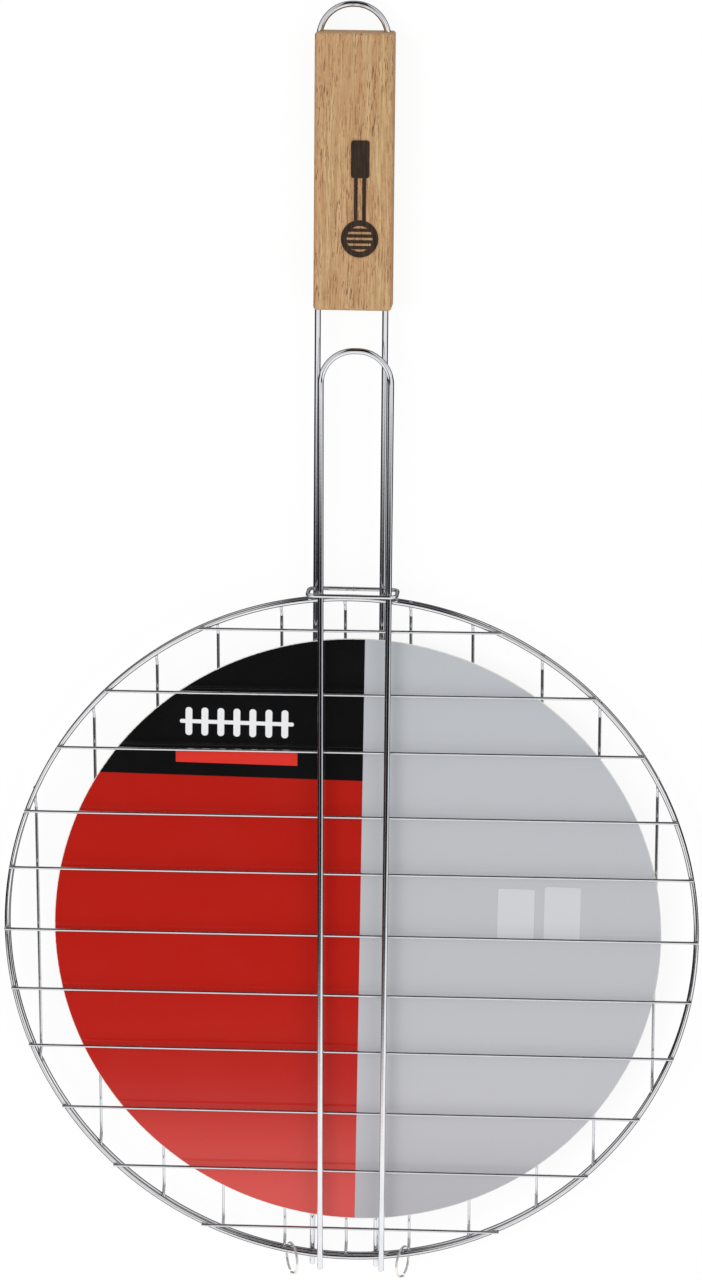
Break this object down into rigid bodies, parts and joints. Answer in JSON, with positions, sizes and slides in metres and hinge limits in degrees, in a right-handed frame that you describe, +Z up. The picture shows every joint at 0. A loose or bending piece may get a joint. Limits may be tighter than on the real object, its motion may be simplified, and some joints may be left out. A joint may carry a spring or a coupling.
{
  "type": "grill basket",
  "caption": "Round two-sided wire grill basket: a hinged wire lid closes over a shallow wire basket and is held by a clasp that slides along a long handle with a wooden grip.",
  "frame": {"origin": "centre of the round basket, level with the underside of the handle frame's two legs; the grip, the clasp and the hinge rings hang a little lower", "axes": "+Z up, through the lid; +Y along the handle, towards the grip; +X to the right seen from above with the handle away from the viewer"},
  "size_m": [0.35, 0.6502, 0.0238],
  "materials": {
    "chrome_wire": "bright chrome plating over steel wire",
    "grip_wood": "sanded, unvarnished, fine pores",
    "printed_card": "glossy print in blocks of red, black and grey"
  },
  "bodies": {
    "basket": {"lower_rim": "chrome_wire", "floor_wire_01": "chrome_wire", "floor_wire_02": "chrome_wire", "floor_wire_03": "chrome_wire", "floor_wire_04": "chrome_wire", "floor_wire_05": "chrome_wire", "floor_wire_06": "chrome_wire", "floor_wire_07": "chrome_wire", "floor_wire_08": "chrome_wire", "floor_wire_09": "chrome_wire", "floor_wire_10": "chrome_wire", "floor_wire_11": "chrome_wire", "handle_frame": "chrome_wire", "wood_grip": "grip_wood", "card_insert": "printed_card"},
    "lid": {"lid_rim": "chrome_wire", "lid_wire_01": "chrome_wire", "lid_wire_02": "chrome_wire", "lid_wire_03": "chrome_wire", "lid_wire_04": "chrome_wire", "lid_wire_05": "chrome_wire", "lid_wire_06": "chrome_wire", "lid_wire_07": "chrome_wire", "lid_wire_08": "chrome_wire", "lid_wire_09": "chrome_wire", "lid_wire_10": "chrome_wire", "lid_wire_11": "chrome_wire", "lid_handle_loop": "chrome_wire"},
    "clasp": {"sliding_clasp": "chrome_wire"},
    "hinge_ring_left": {"hinge_ring_left": "chrome_wire"},
    "hinge_ring_right": {"hinge_ring_right": "chrome_wire"}
  },
  "joints": [
    {"name": "lid_hinge", "type": "hinge", "parent": "basket", "child": "lid", "pos_m": [0, -0.1753, 0.00615], "axis": [1, 0, 0], "range_deg": [0, 170]},
    {"name": "clasp_slide", "type": "slide", "parent": "basket", "child": "clasp", "axis": [0, 1, 0], "range_m": [0, 0.139]},
    {"name": "ring_left_swing", "type": "hinge", "parent": "basket", "child": "hinge_ring_left", "pos_m": [-0.0286, -0.1753, 0.00615], "axis": [1, 0, 0], "range_deg": [0, 34]},
    {"name": "ring_right_swing", "type": "hinge", "parent": "basket", "child": "hinge_ring_right", "pos_m": [0.0284, -0.1753, 0.00615], "axis": [1, 0, 0], "range_deg": [0, 34]}
  ],
  "couplings": [
    {"joint": "ring_left_swing", "follows": "lid_hinge", "ratio": 0.2},
    {"joint": "ring_right_swing", "follows": "lid_hinge", "ratio": 0.2}
  ]
}
